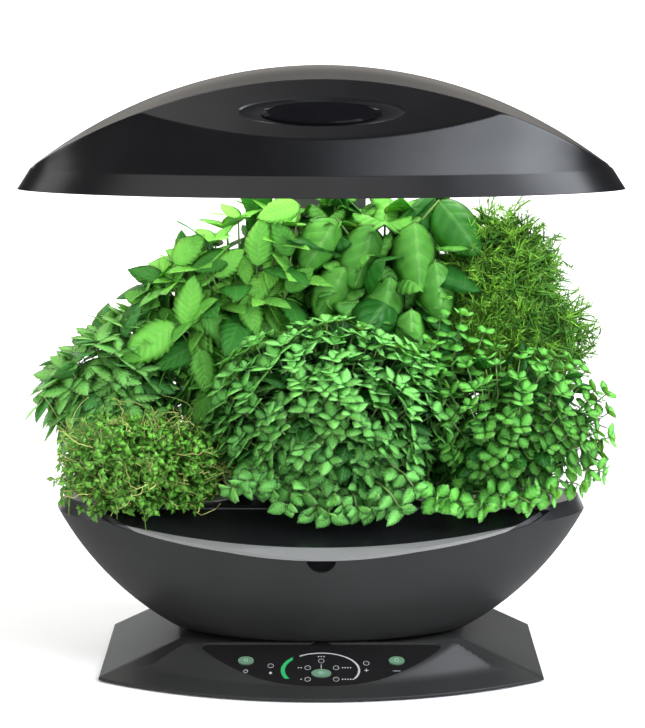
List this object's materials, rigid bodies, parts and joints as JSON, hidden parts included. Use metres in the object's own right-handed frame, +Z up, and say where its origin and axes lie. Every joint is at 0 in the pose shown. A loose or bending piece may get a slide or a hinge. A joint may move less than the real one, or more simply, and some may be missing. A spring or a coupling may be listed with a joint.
{
  "type": "countertop hydroponic garden",
  "caption": "Countertop hydroponic garden: water bowl with herb pods on a base with a control console, under a lamp hood on a height-adjustable mast.",
  "frame": {"origin": "on the surface it stands on, under the middle of the object's overall width and depth", "axes": "+Z up, +X along the width to the viewer's right, -Y to the front where the control console is"},
  "size_m": [0.4, 0.228, 0.4005],
  "materials": {
    "black_gloss": "glossy",
    "graphite": "satin",
    "deck_black": "satin",
    "dark_plastic": "matte",
    "badge_black": "glossy",
    "film": "satin",
    "button_green": "satin",
    "lens_clear": "glossy",
    "circuit_green": "satin",
    "rubber": "matte",
    "steel": "satin",
    "mast_grey": "satin",
    "white_sheet": "glossy",
    "white_plastic": "satin",
    "lamp_cap": "satin",
    "lamp_tube": "glossy",
    "basket": "satin",
    "sponge": "matte",
    "label": "matte",
    "copper_iron": "satin",
    "foam": "matte",
    "tube_clear": "glossy",
    "float_orange": "satin",
    "leaf_a": "matte",
    "leaf_b": "matte",
    "leaf_c": "matte"
  },
  "bodies": {
    "base": {"base_housing": "graphite", "base_plate": "dark_plastic", "rubber_feet": "rubber", "base_screws": "steel", "control_overlay": "film", "indicator_lenses": "lens_clear", "control_board": "circuit_green", "push_switches": "white_plastic", "lamp_ballast": "dark_plastic", "transformer": "copper_iron", "power_inlet": "dark_plastic", "bowl_socket": "dark_plastic", "mast_sleeve": "graphite", "lever_pin": "steel", "lever_spring": "steel"},
    "light_button": {"button_light": "button_green"},
    "select_button": {"button_select": "button_green"},
    "reset_button": {"button_reset": "button_green"},
    "lever": {"release_lever": "mast_grey"},
    "lamp_hood": {"mast_slide": "mast_grey", "hood_bracket": "steel", "hood_screws": "steel", "hood_shell": "black_gloss", "hood_badge": "badge_black", "reflector": "white_sheet", "socket_block": "white_plastic", "lamp_sockets": "white_plastic", "lamp_caps": "lamp_cap", "lamp_bases": "white_plastic", "lamp_tubes": "lamp_tube"},
    "water_bowl": {"bowl": "graphite", "grow_deck": "deck_black", "grow_baskets": "basket", "rooting_sponges": "sponge", "pod_labels": "label", "pump_body": "dark_plastic", "pump_cover": "dark_plastic", "pump_filter": "foam", "riser_tube": "tube_clear", "bowl_plug": "dark_plastic", "float_guide": "tube_clear", "plant_broadleaf": "leaf_a", "plant_pointed": "leaf_b", "plant_basil": "leaf_c", "plant_dill": "leaf_a", "plant_thyme": "leaf_b", "plant_bush": "leaf_c", "plant_mint": "leaf_c"},
    "fill_door_body": {"fill_door": "deck_black"},
    "pump_rotor": {"pump_impeller": "white_plastic"},
    "level_float": {"water_float": "float_orange"}
  },
  "joints": [
    {"name": "mast_height", "type": "slide", "parent": "base", "child": "lamp_hood", "axis": [0, 0, 1], "range_m": [0, 0.12]},
    {"name": "lever_press", "type": "hinge", "parent": "base", "child": "lever", "pos_m": [0, 0.1018, 0.24], "axis": [1, 0, 0], "range_deg": [0, 9], "stiffness_Nm_per_rad": 0.4, "springref_deg": -6.88},
    {"name": "light_press", "type": "slide", "parent": "base", "child": "light_button", "axis": [0, 0.5075, -0.8616], "range_m": [0, 0.0007], "stiffness_N_per_m": 500, "springref_m": -0.0006},
    {"name": "select_press", "type": "slide", "parent": "base", "child": "select_button", "axis": [0, 0.5075, -0.8616], "range_m": [0, 0.0007], "stiffness_N_per_m": 500, "springref_m": -0.0006},
    {"name": "reset_press", "type": "slide", "parent": "base", "child": "reset_button", "axis": [0, 0.5075, -0.8616], "range_m": [0, 0.0007], "stiffness_N_per_m": 500, "springref_m": -0.0006},
    {"name": "bowl_pull", "type": "slide", "parent": "base", "child": "water_bowl", "axis": [0, -1, 0], "range_m": [0, 0.24]},
    {"name": "fill_door_swing", "type": "hinge", "parent": "water_bowl", "child": "fill_door_body", "pos_m": [0, -0.059, 0.1151], "axis": [-1, 0, 0], "range_deg": [0, 48]},
    {"name": "pump_spin", "type": "hinge", "parent": "water_bowl", "child": "pump_rotor", "pos_m": [0, 0.005, 0.041], "axis": [0, 0, 1], "continuous": true},
    {"name": "float_level", "type": "slide", "parent": "water_bowl", "child": "level_float", "axis": [0, 0, 1], "range_m": [0, 0.03]}
  ]
}
